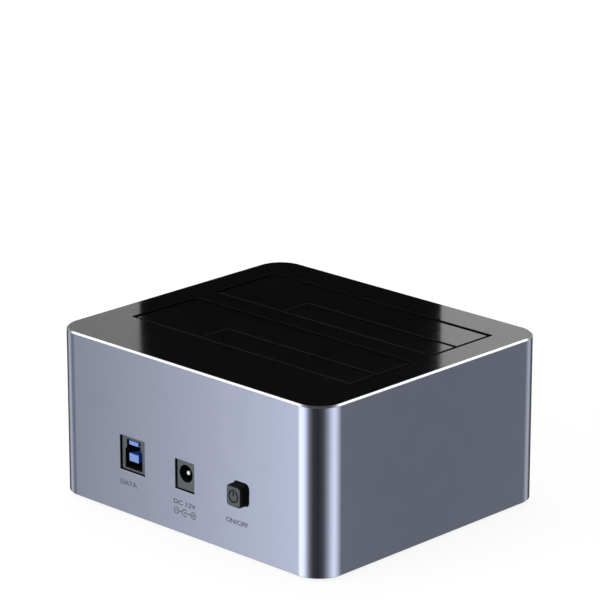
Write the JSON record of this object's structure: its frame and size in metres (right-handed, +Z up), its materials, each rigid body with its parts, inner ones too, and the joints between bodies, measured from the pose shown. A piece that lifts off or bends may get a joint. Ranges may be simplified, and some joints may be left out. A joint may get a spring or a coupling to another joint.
{
  "type": "hard drive docking station",
  "caption": "Desktop docking station: aluminium shell, glossy top with sprung flaps over two drive bays, data and power sockets and a push button.",
  "frame": {"origin": "under the middle of the shell, on the surface that the feet stand on", "axes": "+X along the socket face, +Y from the socket face towards the lamp face, +Z up"},
  "size_m": [0.1282, 0.1166, 0.0614],
  "materials": {
    "anodised_aluminium": "satin bead-blasted anodised, bright cut chamfer",
    "gloss_black": "polished",
    "black_plastic": "fine moulded texture",
    "button_plastic": "satin",
    "white_plastic": "satin",
    "rubber": "matt",
    "screw_steel": "blackened",
    "spring_steel": "drawn wire",
    "board_green": "solder mask",
    "plated_contact": "gold plated",
    "nickel_sleeve": "nickel plated",
    "blue_plastic": "moulded",
    "chip_black": "moulded epoxy",
    "component_tan": "ceramic",
    "component_metal": "bright can",
    "lamp_lens": "clear"
  },
  "bodies": {
    "root": {"outer_shell": "anodised_aluminium", "top_cover": "gloss_black", "base_plate": "black_plastic", "near_bay_well": "black_plastic", "far_bay_well": "black_plastic", "near_drive_receptacle": "black_plastic", "far_drive_receptacle": "black_plastic", "data_socket_housing": "black_plastic", "power_socket_body": "black_plastic", "power_switch_body": "black_plastic", "link_socket": "black_plastic", "link_plug": "black_plastic", "rubber_feet": "rubber", "base_screws": "screw_steel", "board_screws": "screw_steel", "well_screws": "screw_steel", "near_large_hinge_pin": "spring_steel", "far_large_hinge_pin": "spring_steel", "main_board": "board_green", "port_board": "board_green", "near_receptacle_contacts": "plated_contact", "far_receptacle_contacts": "plated_contact", "data_socket_contacts": "plated_contact", "link_contacts": "plated_contact", "power_socket_pin": "plated_contact", "power_socket_spring": "plated_contact", "data_socket_sleeve": "nickel_sleeve", "data_socket_insulator": "blue_plastic", "bridge_chip": "chip_black", "memory_chip": "chip_black", "regulator_chips": "chip_black", "power_inductors": "chip_black", "ceramic_capacitors": "component_tan", "clock_crystal": "component_metal", "electrolytic_capacitors": "component_metal", "status_lamps": "lamp_lens", "light_pipes": "lamp_lens"},
    "near_large": {"near_large_flap": "gloss_black", "near_small_hinge_pin": "spring_steel", "near_large_flap_spring": "spring_steel"},
    "near_small": {"near_small_flap": "gloss_black", "near_small_flap_spring": "spring_steel"},
    "far_large": {"far_large_flap": "gloss_black", "far_small_hinge_pin": "spring_steel", "far_large_flap_spring": "spring_steel"},
    "far_small": {"far_small_flap": "gloss_black", "far_small_flap_spring": "spring_steel"},
    "button": {"power_button": "button_plastic", "power_switch_plunger": "white_plastic"}
  },
  "joints": [
    {"name": "near_large_flap_hinge", "type": "hinge", "parent": "root", "child": "near_large", "pos_m": [0, 0.00165, 0.0575], "axis": [1, 0, 0], "range_deg": [0, 88], "stiffness_Nm_per_rad": 0.01, "springref_deg": -51.57},
    {"name": "near_small_flap_hinge", "type": "hinge", "parent": "near_large", "child": "near_small", "pos_m": [0.0161, -0.01575, 0.0582], "axis": [-1, 0, 0], "range_deg": [-80, 0], "stiffness_Nm_per_rad": 0.003, "springref_deg": 51.57},
    {"name": "far_large_flap_hinge", "type": "hinge", "parent": "root", "child": "far_large", "pos_m": [0, 0.04225, 0.0575], "axis": [1, 0, 0], "range_deg": [0, 88], "stiffness_Nm_per_rad": 0.01, "springref_deg": -51.57},
    {"name": "far_small_flap_hinge", "type": "hinge", "parent": "far_large", "child": "far_small", "pos_m": [0.0161, 0.02485, 0.0582], "axis": [-1, 0, 0], "range_deg": [-80, 0], "stiffness_Nm_per_rad": 0.003, "springref_deg": 51.57},
    {"name": "button_press", "type": "slide", "parent": "root", "child": "button", "axis": [0, 1, 0], "range_m": [0, 0.002], "stiffness_N_per_m": 300, "springref_m": -0.003}
  ]
}
